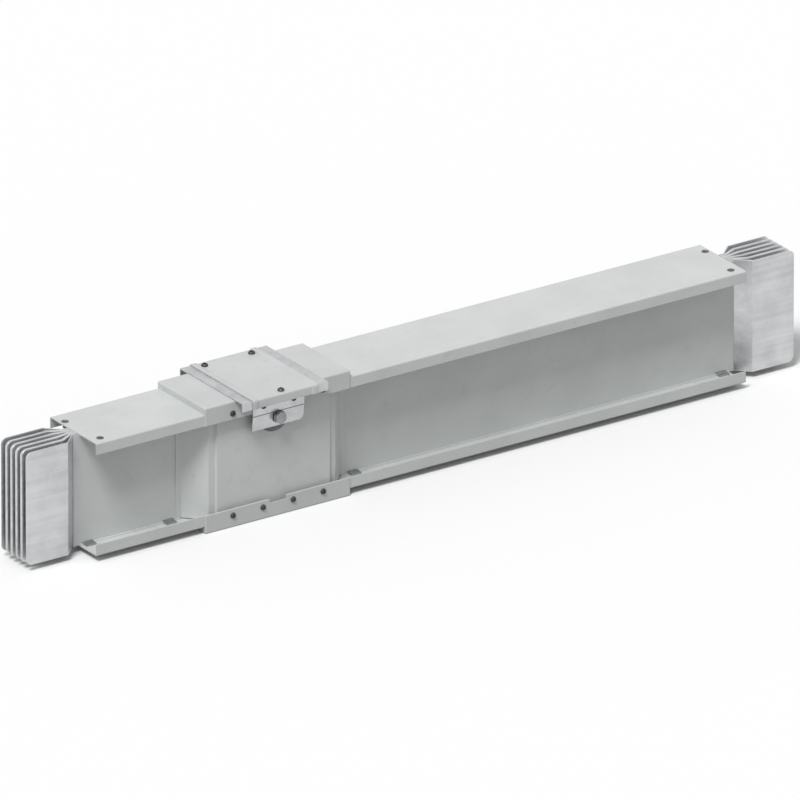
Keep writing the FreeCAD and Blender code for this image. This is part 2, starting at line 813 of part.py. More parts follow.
def on_bolt(thing, distance, turn):
    """Place a round piece on the bolt's axis, its own z axis turned along it."""
    place(thing, JOINT_X, distance, BOLT_Z, turn)


def ring(label, outer, inner, length):
    """A plain round tube standing on z = 0."""
    wall = primitive("Cylinder", label + "_wall", Radius=outer, Height=length)
    bore = primitive("Cylinder", label + "_bore", z=f"-({length})", Radius=inner, Height=f"3 * ({length})")
    return without(label, wall, bore)


def build_bolt():
    """The bolt across the joint with its nut, flat washers, spring washers and insulating sleeve."""
    flats_upright = Rotation(Vector(0, 0, 1), 30)
    front = Rotation(Vector(1, 0, 0), 90) * flats_upright
    rear = Rotation(Vector(1, 0, 0), -90) * flats_upright
    corner = "bolt_across_flats / 2 / cos(30)"
    grip = f"(2 * {SEAT} + nut_rise + bolt_tail)"
    head = primitive("Prism", "bolt_head", Circumradius=corner, Height="bolt_head_rise")
    shank = primitive(
        "Cylinder", "bolt_shank_round", z=f"-{grip}",
        Radius="bolt_shank / 2", Height=f"{grip} + bolt_head_rise / 2",
    )
    bolt = joined("joint_bolt", [head, shank])
    on_bolt(bolt, f"-{SEAT}", front)
    node(bolt, "joint_bolt")
    blank = primitive("Prism", "nut_blank", Circumradius=corner, Height="nut_rise")
    bore = primitive("Cylinder", "nut_bore", z="-nut_rise", Radius="bolt_shank / 2", Height="3 * nut_rise")
    nut = without("joint_nut", blank, bore)
    on_bolt(nut, SEAT, rear)
    node(nut, "joint_nut")
    flats, springs = [], []
    for sign, turn in ((-1, front), (1, rear)):
        flat = ring("flat_washer_ring", "flat_washer / 2", "bolt_shank / 2", "flat_washer_sheet")
        on_bolt(flat, f"{sign} * ({PANEL_FACE} + spring_washer_rise)", turn)
        flats.append(flat)
        spring = build_spring_washer()
        on_bolt(spring, f"{sign} * {PANEL_FACE}", turn)
        springs.append(spring)
    group("flat_washers", flats)
    group("spring_washers", springs)
    sleeve = ring(
        "bolt_sleeve", "(bolt_shank / 2 + bolt_clear + sleeve_wall)", "(bolt_shank / 2 + bolt_clear)",
        f"2 * ({STACK_FACE} + pressure_sheet)",
    )
    on_bolt(sleeve, f"{STACK_FACE} + pressure_sheet", front)
    node(sleeve, "bolt_sleeve")


def build_spring_washer():
    """A dished disc: its rim stands on z = 0 and its middle rises towards the bolt's head."""
    body = new_body("spring_washer")
    sketch = new_sketch(body, "XZ_Plane")
    add_outline(sketch, [
        ("spring_washer / 2", "0"),
        ("spring_washer / 2", "spring_washer_sheet"),
        ("bolt_shank / 2", "spring_washer_rise"),
        ("bolt_shank / 2", "spring_washer_rise - spring_washer_sheet"),
    ])
    turned = body.newObject("PartDesign::Revolution", "spring_washer_turned")
    turned.Profile = sketch
    turned.ReferenceAxis = (sketch, ["V_Axis"])
    turned.Angle = 360
    sketch.Visibility = False
    doc.recompute()
    return body


def plate_with_hole(label, length, height, across, thickness):
    """A flat upright plate of the joint with the sleeve's hole, its rear face at a distance across."""
    plate = primitive(
        "Box", label + "_plate", f"-({length}) / 2", "0", f"-({height}) / 2 - {BOLT_Z} + {MIDDLE}",
        Length=length, Width=thickness, Height=height,
    )
    hole = primitive(
        "Cylinder", label + "_hole", "0", f"2 * ({thickness})", "0", Rotation(Vector(1, 0, 0), 90),
        Radius="bolt_shank / 2 + bolt_clear + sleeve_wall", Height=f"3 * ({thickness})",
    )
    cut = without(label, plate, hole)
    place(cut, JOINT_X, across, BOLT_Z)
    return cut


def build_stack():
    """The clamped stack inside the joint: contact plates on every tab, insulators between them."""
    half_bar = "bar_sheet / 2"
    half_earth = "earth_sheet / 2"
    faces = [("-2.5 * tab_pitch", half_earth), ("-1.5 * tab_pitch", half_bar), ("-tab_pitch / 2", half_bar),
             ("tab_pitch / 2", half_bar), ("1.5 * tab_pitch", half_bar), ("2.5 * tab_pitch", half_earth)]
    contact_height = f"({INSIDE_HEIGHT} - 2 * contact_margin)"
    insulator_height = f"({INSIDE_HEIGHT} - 2 * insulator_margin)"
    contacts, insulators = [], []
    for (near_tab, near_half), (far_tab, far_half) in zip(faces, faces[1:]):
        start = f"({near_tab} + {near_half})"
        end = f"({far_tab} - {far_half})"
        for across in (start, f"({end} - contact_sheet)"):
            contacts.append(plate_with_hole(
                "contact_plate", "contact_length", contact_height, across, "contact_sheet"
            ))
        insulators.append(plate_with_hole(
            "insulator", "insulator_length", insulator_height, f"{start} + contact_sheet",
            f"({end} - {start} - 2 * contact_sheet)",
        ))
    group("contact_plates", contacts)
    group("insulators", insulators)


def build_pressure_plate(side, sign):
    """A pressure plate on the outer face of the stack, with the boss that the side cover is clamped on."""
    height = f"({INSIDE_HEIGHT} - 2 * pressure_margin)"
    across = STACK_FACE if sign == 1 else f"-({STACK_FACE} + pressure_sheet)"
    plate = plate_with_hole(f"{side}_pressure_blank", "pressure_length", height, across, "pressure_sheet")
    boss = ring(
        f"{side}_boss", "boss_width / 2", "(bolt_shank / 2 + bolt_clear)",
        f"({PANEL_INNER} - {STACK_FACE} - pressure_sheet)",
    )
    turn = Rotation(Vector(1, 0, 0), -90 * sign)
    on_bolt(boss, f"{sign} * ({STACK_FACE} + pressure_sheet)", turn)
    whole = joined(f"{side}_pressure_plate", [plate, boss])
    node(whole, f"{side}_pressure_plate")


for section, length, out in (("short", "short_length", -1), ("long", "long_length", 1)):
    build_section(section, length, out)
build_cap("top", Rotation())
build_cap("bottom", half_turn(Vector(1, 0, 0)))
build_straps()
build_lid()
build_lock_plate()
build_rear_bracket()
build_side_cover("front", Rotation())
build_side_cover("rear", half_turn(Vector(0, 0, 1)))
build_flange_screws()
build_lid_screws()
build_bolt()
build_stack()
for side, sign in (("front", -1), ("rear", 1)):
    build_pressure_plate(side, sign)

doc.recompute()
for thing in doc.Objects:
    if "Invalid" in thing.State or "Error" in thing.State:
        raise RuntimeError(f"{thing.Label} failed: {thing.State}")
for thing in nodes:
    if thing.Shape.isNull() or not thing.Shape.isValid() or not thing.Shape.Solids:
        raise RuntimeError(f"{thing.Label} has no valid solid")

os.makedirs("parts", exist_ok=True)
for thing in nodes:
    thing.Shape.exportStep(f"parts/{thing.Label}.step")
print(len(nodes), "sub-parts written")
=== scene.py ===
import bpy
import numpy as np
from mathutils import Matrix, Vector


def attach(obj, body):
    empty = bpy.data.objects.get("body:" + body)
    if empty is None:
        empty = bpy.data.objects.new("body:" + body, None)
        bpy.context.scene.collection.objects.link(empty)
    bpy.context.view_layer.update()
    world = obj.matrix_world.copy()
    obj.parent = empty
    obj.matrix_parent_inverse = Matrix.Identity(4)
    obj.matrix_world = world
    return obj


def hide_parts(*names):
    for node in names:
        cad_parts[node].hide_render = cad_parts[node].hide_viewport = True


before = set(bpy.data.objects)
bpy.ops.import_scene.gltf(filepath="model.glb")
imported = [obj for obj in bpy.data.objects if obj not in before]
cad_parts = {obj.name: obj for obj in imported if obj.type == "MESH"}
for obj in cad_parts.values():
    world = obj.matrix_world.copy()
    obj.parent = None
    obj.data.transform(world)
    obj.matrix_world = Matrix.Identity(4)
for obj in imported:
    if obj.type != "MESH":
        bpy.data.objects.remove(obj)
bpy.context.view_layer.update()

# Conductor bars: four rolled aluminium bars to a length, bent apart at both ends so that the contact
# plates of the next joint go between them. Tinned all over, their long edges rounded by the rolls,
# with the fine grain of rolling along them and a few dull patches from handling.
MM = 0.001
SIDES = ("front", "rear")
SIGNS = (-1.0, 1.0)
LENGTHS = ("short", "long")
# In mm: the housing's middle height, then the middle and half length along X of each length's straight
# run, and the way to its free end.
MIDDLE_Z = 114.5
SECTION = {"short": (-558.75, 101.25, -1.0), "long": (263.25, 396.75, 1.0)}
# Beyond the ends of that run: where the plates start to part, where they run straight again, and
# their tips. Past the free end the plates are a little higher, from the step on.
FLARE_START, FLARE_END, TAB_REACH = 12.0, 36.0, 120.0
HALF_HEIGHT, TAB_HALF_HEIGHT, HEIGHT_STEP = 100.5, 102.5, 0.5
TIP_ROUND = 11.0
# Distance off the mid-plane of each bar: inside the housing, and at its tab.
BAR_PLACES = (("inner", 3.3, 7.5), ("outer", 9.9, 22.5))
BAR_SHEET, BAR_ROUND, BAR_BEND = 6.0, 0.9, 9.0
# Angles in degrees from which an edge stays crisp: in most pieces, and in those with wide chamfers.
CREASE, FINE_CREASE = 32.0, 25.0
# The stretch of noise that is alike along all axes.
EVEN = (1.0, 1.0, 1.0)


def finish_named(name):
    """A new material, its node tree, and the surface shader in it."""
    finish = bpy.data.materials.new(name)
    finish.use_nodes = True
    tree = finish.node_tree
    return finish, tree, tree.nodes["Principled BSDF"]


def put(tree, kind, **inputs):
    """A shader node with its inputs set: a plain value is stored, a socket is linked.

    An input goes by its name, with _ for a space, or by its number after a _."""
    node = tree.nodes.new(kind)
    for name, what in inputs.items():
        numbered = name[0] == "_" and name[1:].isdigit()
        socket = node.inputs[int(name[1:]) if numbered else name.replace("_", " ")]
        if isinstance(what, bpy.types.NodeSocket):
            tree.links.new(what, socket)
        else:
            socket.default_value = what
    return node


def grain(tree, stretch, size, detail=4.0, rough=0.55):
    """Noise on the object's own axes: stretch squeezes each axis, size is how many waves to a metre."""
    place = put(tree, "ShaderNodeTexCoord").outputs["Object"]
    turned = put(tree, "ShaderNodeMapping", Vector=place, Scale=stretch).outputs["Vector"]
    noise = put(tree, "ShaderNodeTexNoise", Vector=turned, Scale=size, Detail=detail, Roughness=rough)
    return noise.outputs["Fac"]


def span(tree, value, low, high, out_low=0.0, out_high=1.0):
    """A straight ramp: value from low to high becomes out_low to out_high, and is held outside."""
    ends = {"From_Min": low, "From_Max": high, "To_Min": out_low, "To_Max": out_high}
    return put(tree, "ShaderNodeMapRange", Value=value, **ends).outputs["Result"]


def combine(tree, operation, first, second=0.0):
    """One sum on two values or sockets, or on the first alone."""
    node = put(tree, "ShaderNodeMath", _0=first, _1=second)
    node.operation = operation
    return node.outputs["Value"]


def tint(tree, share, first, second):
    """Colour that goes from the first to the second with a share from 0 to 1."""
    mix = tree.nodes.new("ShaderNodeMix")
    mix.data_type = "RGBA"
    tree.links.new(share, mix.inputs["Factor"])
    for socket, colour in ((mix.inputs["A"], first), (mix.inputs["B"], second)):
        if isinstance(colour, bpy.types.NodeSocket):
            tree.links.new(colour, socket)
        else:
            socket.default_value = (*colour, 1.0)
    return mix.outputs["Result"]


def rounded(tree, radius):
    """The normal of edges rounded by a radius in metres."""
    edge = tree.nodes.new("ShaderNodeBevel")
    edge.samples = 4
    edge.inputs["Radius"].default_value = radius
    return edge.outputs["Normal"]


def soft_edges(tree, radius, height, strength, reach):
    """The normal of slightly rounded edges, with a fine height pattern on top of it."""
    bump = put(
        tree, "ShaderNodeBump", Strength=strength, Distance=reach, Height=height, Normal=rounded(tree, radius)
    )
    return bump.outputs["Normal"]


def rolled_metal(name, colour, dull, roughness):
    """Metal with rolling grain along X: fine drawn-out noise, broad streaks, and cloudy duller patches."""
    finish, tree, surface = finish_named(name)
    fine = grain(tree, (6.0, 900.0, 900.0), 1.0, 5.0)
    streak = grain(tree, (2.0, 110.0, 110.0), 1.0, 4.0, 0.6)
    clouds = grain(tree, EVEN, 17.0, 4.0, 0.6)
    cloudy = span(tree, clouds, 0.40, 0.68, 0.0, 0.65)
    streaked = span(tree, streak, 0.38, 0.66, 0.0, 0.55)
    share = combine(tree, "ADD", cloudy, streaked)
    tree.links.new(tint(tree, share, colour, dull), surface.inputs["Base Color"])
    drawn = span(tree, fine, 0.3, 0.7, roughness - 0.07, roughness + 0.07)
    rough = combine(tree, "ADD", drawn, span(tree, clouds, 0.4, 0.7, 0.0, 0.10))
    tree.links.new(rough, surface.inputs["Roughness"])
    surface.inputs["Metallic"].default_value = 1.0
    tree.links.new(soft_edges(tree, 0.0003, fine, 0.14, 0.0001), surface.inputs["Normal"])
    return finish


def dress(finish, *names):
    """Give nodes of the model a finish, in every material slot that they have."""
    for name in names:
        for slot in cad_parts[name].material_slots:
            slot.material = finish


def make_piece(name, points, faces, finish, nodes, crease=CREASE):
    """One new piece in the place of nodes of the model. Edges sharper than the crease angle stay crisp.

    Without nodes it is a helper, which takes nothing's place."""
    mesh = bpy.data.meshes.new(name)
    mesh.from_pydata(points.tolist(), [], faces)
    mesh.update()
    mesh.shade_smooth()
    mesh.set_sharp_from_angle(angle=np.radians(crease))
    mesh.materials.append(finish)
    piece = bpy.data.objects.new(name, mesh)
    bpy.context.scene.collection.objects.link(piece)
    if nodes:
        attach(piece, "root")
        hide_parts(*nodes)
    return piece


def wall_faces(count, around, tube=False):
    """Quads between rings of points that each close on themselves. A tube's last ring joins its first."""
    here = np.arange(count * around).reshape(count, around)
    below = np.roll(here, -1, axis=0)
    quads = np.stack([here, np.roll(here, -1, axis=1), np.roll(below, -1, axis=1), below], axis=-1)
    return (quads if tube else quads[:-1]).reshape(-1, 4)


def end_fans(count, around):
    """Triangles from the first and last ring to two more points, which close them."""
    ring = np.arange(around)
    tail = (count - 1) * around
    first = np.stack([np.full(around, count * around), np.roll(ring, -1), ring], axis=-1)
    last = np.stack([np.full(around, count * around + 1), tail + ring, tail + np.roll(ring, -1)], axis=-1)
    return np.concatenate([first, last])


def bent_path(corners, radius, steps=5):
    """A flat line of straights with a round bend at each inner corner, and its left-hand normals.

    A bend of radius r that turns by t starts r tan(t / 2) before its corner. Its centre lies r to the side
    that it turns to, and its points swing round that centre by equal angles. Each bend may have its own r."""
    corners = np.asarray(corners, float)
    runs = np.diff(corners, axis=0)
    angles = np.arctan2(runs[:, 1], runs[:, 0])
    points, headings = [corners[:1]], [angles[:1]]
    radii = np.broadcast_to(radius, len(corners) - 2)
    for corner, before, after, size in zip(corners[1:-1], angles[:-1], angles[1:], radii):
        turn = (after - before + np.pi) % (2.0 * np.pi) - np.pi
        start = corner - size * np.tan(abs(turn) / 2.0) * np.array([np.cos(before), np.sin(before)])
        heading = before + np.linspace(0.0, turn, steps + 1)
        swing = size * np.sign(turn) * np.stack([np.sin(heading), -np.cos(heading)], axis=-1)
        points.append(start - swing[0] + swing)
        headings.append(heading)
    points.append(corners[-1:])
    headings.append(angles[-1:])
    heading = np.concatenate(headings)
    return np.concatenate(points), np.stack([-np.sin(heading), np.cos(heading)], axis=-1)


def flared_plate(length, straight, tab, sheet, rounding, bend):
    """A flat plate carried along its flared line, in one skin.

    The section is a rectangle with round corners: centre (u, v) = (+-(a - r), +-(b - r)), plus r in all
    directions of its quarter. b falls towards each tip as a quarter circle, R - sqrt(R^2 - d^2), and the
    end face is rounded the same way by the section's own radius."""
    middle, half, out = SECTION[length]
    tip = half + TAB_REACH
    parted, straight_end = half + FLARE_END, half + FLARE_START
    line, normals = bent_path(
        [(-tip, tab), (-parted, tab), (-straight_end, straight),
         (straight_end, straight), (parted, tab), (tip, tab)], bend,
    )

    # More stations where the outline changes: on the round tips, and either side of the height's step.
    end_face = rounding * (1.0 - np.sin(np.linspace(0.2, 1.0, 4)[:-1] * np.pi / 2.0))
    round_tip = rounding + (TIP_ROUND - rounding) * np.linspace(0.0, 1.0, 9) ** 1.6
    ends = tip - np.concatenate([end_face, round_tip])
    step = half + HEIGHT_STEP + np.array([-0.05, 0.05])
    extra = np.concatenate([-ends, ends, -step, step])
    level = np.where(np.abs(extra) > straight_end, tab, straight)
    along = np.concatenate([line[:, 0], extra])
    order = np.argsort(along, kind="stable")
    along = along[order]
    across = np.concatenate([line[:, 1], level])[order]
    normal = np.concatenate([normals, np.tile([0.0, 1.0], (len(extra), 1))])[order]

    high = np.where(along * out > half + HEIGHT_STEP, TAB_HALF_HEIGHT, HALF_HEIGHT)
    corner = np.maximum(np.abs(along) - (tip - TIP_ROUND), 0.0)
    high = high - (TIP_ROUND - np.sqrt(np.maximum(TIP_ROUND**2 - corner**2, 0.0)))
    near = np.maximum(np.abs(along) - (tip - rounding), 0.0)
    inset = rounding - np.sqrt(np.maximum(rounding**2 - near**2, 0.0))
    thick = (sheet / 2.0 - inset)[:, None, None]
    high = high[:, None, None]
    radius = np.maximum(rounding - inset, 0.05)[:, None, None]
    quarter = np.arange(4)[:, None] * np.pi / 2.0 + np.linspace(0.0, np.pi / 2.0, 4)
    sign_u = np.array([1.0, -1.0, -1.0, 1.0])[:, None]
    sign_v = np.array([1.0, 1.0, -1.0, -1.0])[:, None]
    u = (sign_u * (thick - radius) + radius * np.cos(quarter)).reshape(len(along), -1)
    v = (sign_v * (high - radius) + radius * np.sin(quarter)).reshape(len(along), -1)
    rings = np.stack([along[:, None] + normal[:, :1] * u, across[:, None] + normal[:, 1:] * u, v], axis=-1)
    rings += np.array([middle, 0.0, MIDDLE_Z])
    points = np.vstack([rings.reshape(-1, 3), rings[0].mean(axis=0), rings[-1].mean(axis=0)]) * MM
    count, around = u.shape
    return points, wall_faces(count, around).tolist() + end_fans(count, around).tolist()


tinned_bar = rolled_metal("tinned_bar", (0.66, 0.67, 0.68), (0.50, 0.51, 0.52), 0.33)
for length in LENGTHS:
    for side, sign in zip(SIDES, SIGNS):
        for bar, straight, tab in BAR_PLACES:
            points, faces = flared_plate(
                length, sign * straight, sign * tab, BAR_SHEET, BAR_ROUND, BAR_BEND
            )
            make_piece(
                f"{length}_{side}_{bar}_tinned_bar", points, faces, tinned_bar,
                [f"{length}_{side}_{bar}_bar"], FINE_CREASE,
            )

# Earth plates: the two thin outermost plates of each sandwich, mill-finished aluminium. They are
# flared with the bars and their flat outer faces are what shows at both ends of the section.
# Off the mid-plane, as the bars: inside the housing, and at the tab.
EARTH_PLACE, EARTH_TAB_PLACE = 14.5, 37.5
EARTH_SHEET, EARTH_ROUND, EARTH_BEND = 2.0, 0.35, 3.0
mill_plate = rolled_metal("mill_plate", (0.63, 0.64, 0.65), (0.49, 0.50, 0.515), 0.38)
for length in LENGTHS:
    for side, sign in zip(SIDES, SIGNS):
        points, faces = flared_plate(
            length, sign * EARTH_PLACE, sign * EARTH_TAB_PLACE, EARTH_SHEET, EARTH_ROUND, EARTH_BEND
        )
        make_piece(
            f"{length}_{side}_mill_plate", points, faces, mill_plate,
            [f"{length}_{side}_earth_plate"], FINE_CREASE,
        )

# Insulation films: amber-brown polyester laid between the bars, cut a little longer than the housing
# so that their edges stand out at the flares.
amber_film, tree, surface = finish_named("amber_film")
wave = grain(tree, (1.0, 1.0, 0.3), 60.0, 3.0)
tree.links.new(tint(tree, wave, (0.20, 0.12, 0.06), (0.10, 0.07, 0.05)), surface.inputs["Base Color"])
tree.links.new(span(tree, wave, 0.3, 0.7, 0.18, 0.32), surface.inputs["Roughness"])
surface.inputs["Coat Weight"].default_value = 0.3
surface.inputs["Coat Roughness"].default_value = 0.12
dress(amber_film, *[f"{length}_insulation_films" for length in LENGTHS])

# Side sheets: 1.5 mm steel pressed flat on the sandwich, its feet folded out along both edges and
# slipped under the clamps, its web run on to the flare. Powder coated light grey with a fine orange peel.


def edge_wear_shade_mask(tree, radius, start, full):
    """0 to 1 as a rounded edge or crease turns the surface away from its own flat, broken up by fine noise:
    the mask on which the finishes paint edge wear and painted shade.
    """
    flat = tree.nodes.new("ShaderNodeNewGeometry").outputs["Normal"]
    facing = tree.nodes.new("ShaderNodeVectorMath")
    facing.operation = "DOT_PRODUCT"
    tree.links.new(rounded(tree, radius), facing.inputs[0])
    tree.links.new(flat, facing.inputs[1])
    turned = span(tree, facing.outputs["Value"], start, full, 0.0, 1.0)
    scuff = grain(tree, EVEN, 160.0, 5.0, 0.7)
    return combine(tree, "MULTIPLY", turned, span(tree, scuff, 0.44, 0.62, 0.25, 1.0))


def powder_coat(name, colour, shade, roughness=0.40):
    """Powder coat: orange peel about a millimetre across, faint cloudy shade, and darker edges and creases,
    partly rubbed wear and partly painted shade that outlines the folds.
    """
    finish, tree, surface = finish_named(name)
    peel = grain(tree, EVEN, 900.0, 2.0, 0.5)
    clouds = grain(tree, EVEN, 9.0, 4.0)
    handled = grain(tree, EVEN, 46.0, 5.0, 0.65)
    body = tint(tree, span(tree, clouds, 0.38, 0.66), colour, shade)
    touched = tuple(part * 0.93 for part in shade)
    body = tint(tree, span(tree, handled, 0.58, 0.72, 0.0, 0.6), body, touched)
    # Edges and creases are darkened to 0.62 of the colour: partly rubbed wear, partly painted shade that
    # outlines the folds.
    wear_and_shade_edge = edge_wear_shade_mask(tree, 0.0007, 0.995, 0.90)
    worn_shaded_edge_colour = tuple(part * 0.62 for part in colour)
    tree.links.new(tint(tree, wear_and_shade_edge, body, worn_shaded_edge_colour), surface.inputs["Base Color"])
    cloudy = span(tree, clouds, 0.3, 0.7, roughness - 0.03, roughness + 0.05)
    rough = combine(tree, "ADD", cloudy, span(tree, handled, 0.5, 0.75, 0.0, 0.07))
    tree.links.new(rough, surface.inputs["Roughness"])
    tree.links.new(soft_edges(tree, 0.0006, peel, 0.16, 0.00025), surface.inputs["Normal"])
    return finish


side_grey = powder_coat("side_grey", (0.63, 0.65, 0.64), (0.585, 0.605, 0.595))
dress(side_grey, *[f"{length}_{side}_side_sheet" for length in LENGTHS for side in SIDES])

# Covers: 2 mm steel channels folded down over the top of the sandwich and up under it. They carry
# the load of the run, and are coated the same grey as the side sheets.
cover_grey = powder_coat("cover_grey", (0.62, 0.64, 0.63), (0.575, 0.595, 0.585))
dress(cover_grey, *[f"{length}_{level}_cover" for length in LENGTHS for level in ("top", "bottom")])

# Foot clamps: short clips of 3 mm steel, stepped over the side sheets' feet and spot-welded to the
# covers, one at each end of a foot. Left in their zinc plate, cloudy from the bath.
# A clip's outside: distance off the mid-plane, and height off the cover's inner face.
CLIP_CORNERS = [(31.0, 3.0), (25.0, 3.0), (22.4, 4.5), (17.15, 4.5)]
CLIP_BENDS = [0.6, 3.6]
CLIP_SHEET, CLIP_HALF, CLIP_EDGE = 3.0, 10.0, 0.5
# From the ends of a length's straight run to the middle of its clips.
CLIP_FROM_FREE_END, CLIP_FROM_JOINT = 16.0, 24.5


def zinc_plate(name, colour, dull, roughness=0.34, wear_and_shade_edge=1.15):
    """Zinc plate: a cloudy bath pattern of two greys, fine scratches, and edges in another tone, lighter as
    rubbed wear with a factor above 1 and darker as painted shade outlining the edges with one below 1.
    """
    finish, tree, surface = finish_named(name)
    clouds = grain(tree, EVEN, 70.0, 4.0)
    broad = grain(tree, EVEN, 21.0, 3.0)
    scratch = grain(tree, (40.0, 700.0, 300.0), 1.0, 3.0)
    cloudy = span(tree, clouds, 0.36, 0.66, 0.0, 0.55)
    share = combine(tree, "ADD", cloudy, span(tree, broad, 0.38, 0.66, 0.0, 0.5))
    body = tint(tree, share, colour, dull)
    # Edge tone: a factor above 1 lightens edges as rubbed wear, one below 1 darkens them as painted shade
    # outlining the edges.
    edge_colour_wear_shade = tuple(min(1.0, part * wear_and_shade_edge) for part in colour)
    edge = edge_wear_shade_mask(tree, 0.0006, 0.999, 0.93)
    tree.links.new(tint(tree, edge, body, edge_colour_wear_shade), surface.inputs["Base Color"])
    rough = span(tree, scratch, 0.35, 0.70, roughness - 0.08, roughness + 0.10)
    tree.links.new(rough, surface.inputs["Roughness"])
    surface.inputs["Metallic"].default_value = 1.0
    tree.links.new(soft_edges(tree, 0.0004, scratch, 0.08, 0.0001), surface.inputs["Normal"])
    return finish


def sheet_sections(line, outward, stations, lift, sheet):
    """A bent sheet carried along X: its outside line moved out by lift, its inside one sheet behind that.

    Each station's ring is the outside from end to end and the inside back again."""
    outer = line + outward * np.asarray(lift)[:, None, None]
    inner = outer - outward * np.broadcast_to(sheet, len(outer))[:, None, None]
    ring = np.concatenate([outer, inner[:, ::-1]], axis=1)
    along = np.broadcast_to(np.asarray(stations)[:, None, None], ring.shape[:2] + (1,))
    return np.concatenate([along, ring], axis=2)


def sheet_faces(count, around):
    """Walls of a bent sheet, with both ends closed by quads between its outside and its inside."""
    half = around // 2
    out = np.arange(half - 1)
    inside = around - 1 - out
    first = np.stack([out, inside, inside - 1, out + 1], axis=-1)
    tail = (count - 1) * around
    last = tail + first[:, ::-1]
    return wall_faces(count, around).tolist() + first.tolist() + last.tolist()


clip_line, clip_side = bent_path(CLIP_CORNERS, CLIP_BENDS, 4)
clip_flat, clip_thin = CLIP_HALF - CLIP_EDGE, CLIP_SHEET - CLIP_EDGE
clip_ring = sheet_sections(
    clip_line, -clip_side, [-CLIP_HALF, -clip_flat, clip_flat, CLIP_HALF],
    [-CLIP_EDGE, 0.0, 0.0, -CLIP_EDGE], [clip_thin, CLIP_SHEET, CLIP_SHEET, clip_thin],
)
clip_faces = np.array(sheet_faces(*clip_ring.shape[:2]))
clip_points, clip_all = [], []
for length in LENGTHS:
    middle, half, out = SECTION[length]
    for along in (out * (half - CLIP_FROM_FREE_END), -out * (half - CLIP_FROM_JOINT)):
        for side in SIGNS:
            for level in SIGNS:
                place = clip_ring.reshape(-1, 3) * [1.0, side, -level]
                turned = clip_faces if side * level < 0 else clip_faces[:, ::-1]
                clip_all += (turned + len(clip_points) * len(place)).tolist()
                clip_points.append(place + [middle + along, 0.0, MIDDLE_Z + level * HALF_HEIGHT])
clamp_zinc = zinc_plate("clamp_zinc", (0.46, 0.47, 0.48), (0.36, 0.37, 0.38))
make_piece(
    "foot_clips", np.concatenate(clip_points) * MM, clip_all, clamp_zinc,
    [f"{length}_foot_clamps" for length in LENGTHS],
)

# Threaded inserts: rivet nuts of dark zinc-plated steel set through the covers near both free
# ends. A thin rim lies on the cover, and the M6 thread runs through the barrel.
dark_zinc = zinc_plate("dark_zinc", (0.20, 0.205, 0.21), (0.09, 0.093, 0.096), 0.42)
# The heights of the covers' outer faces with the way out of each, and the inserts' places in X and Y.
COVER_FACES = ((217.0, 1.0), (12.0, -1.0))
INSERT_PLACES = ((-640.5, -52.0), (-650.5, 39.0), (640.5, -52.0), (650.5, 39.0))
INSERT_AXES = [
    (np.array([x, y, z]) * MM, np.array([0.0, 0.0, out])) for z, out in COVER_FACES for x, y in INSERT_PLACES
]


def on_axis(points, seat, axis, spin=0.0):
    """Points of one small piece, standing on z = 0, turned so that z runs along an axis from a seat.

    The cross direction is the row's X made square to the axis: without spin, local x stays along the bars."""
    up = axis / np.linalg.norm(axis)
    across = np.array([1.0, 0.0, 0.0])
    other = np.cross(up, across)
    turned = np.cos(spin) * across + np.sin(spin) * other
    return points @ np.stack([turned, np.cross(up, turned), up]) + seat


def turned_set(name, rings, seats, finish, nodes, tube=False, spins=None, crease=CREASE):
    """One object of many like turned pieces: rings is (count, around, 3) in metres, copied to each seat."""
    count, around = rings.shape[:2]
    points = rings.reshape(-1, 3)
    faces = [wall_faces(count, around, tube)]
    if not tube:
        points = np.vstack([points, rings[0].mean(axis=0), rings[-1].mean(axis=0)])
        faces.append(end_fans(count, around))
    spins = [0.0] * len(seats) if spins is None else spins
    placed = np.vstack([on_axis(points, seat, axis, spin) for (seat, axis), spin in zip(seats, spins)])
    step = np.arange(len(seats))[:, None, None] * len(points)
    copies = [(face[None] + step).reshape(-1, face.shape[1]).tolist() for face in faces]
    return make_piece(name, placed, sum(copies, []), finish, nodes, crease)


def round_rings(profile, around):
    """A profile of (radius, height) turned about z: x = r cos t, y = r sin t, z = h."""
    radius, height = np.array(profile, float).T * MM
    turn = np.linspace(0.0, 2.0 * np.pi, around, endpoint=False)
    rings = np.empty((len(radius), around, 3))
    rings[..., 0] = radius[:, None] * np.cos(turn)
    rings[..., 1] = radius[:, None] * np.sin(turn)
    rings[..., 2] = height[:, None]
    return rings


def thread_rings(radius, depth, pitch, low, high, around, steps=8):
    """A screw thread: r = radius + depth * cos(t - 2 pi z / pitch), which climbs one pitch a turn."""
    height = np.linspace(low, high, int((high - low) / pitch * steps) + 1)
    turn = np.linspace(0.0, 2.0 * np.pi, around, endpoint=False)
    far = radius + depth * np.cos(turn[None, :] - 2.0 * np.pi * height[:, None] / pitch)
    fade = np.clip(np.minimum(height - low, high - height) / pitch, 0.0, 1.0)[:, None]
    far = radius + (far - radius) * fade
    level = np.broadcast_to(height[:, None], far.shape)
    return np.stack([far * np.cos(turn), far * np.sin(turn), level], axis=-1) * MM


insert_bore = thread_rings(radius=3.0, depth=0.28, pitch=1.0, low=-10.6, high=0.3, around=32)
insert_skin = round_rings(
    [(3.35, 0.72), (3.6, 0.8), (6.1, 0.8), (6.37, 0.7), (6.5, 0.5), (6.5, 0.12), (6.35, 0.0), (4.0, 0.0),
     (4.0, -10.2), (3.8, -10.9), (3.45, -11.0)],
    around=32,
)
turned_set(
    "cover_inserts", np.concatenate([insert_bore, insert_skin])[::-1], INSERT_AXES, dark_zinc,
    ["short_inserts", "long_inserts"], tube=True,
)

# Inside the joint: tinned contact plates pressed on every tab, with moulded red-brown insulators
# between them, all held between two cast pressure plates. Little of it shows past the covers.


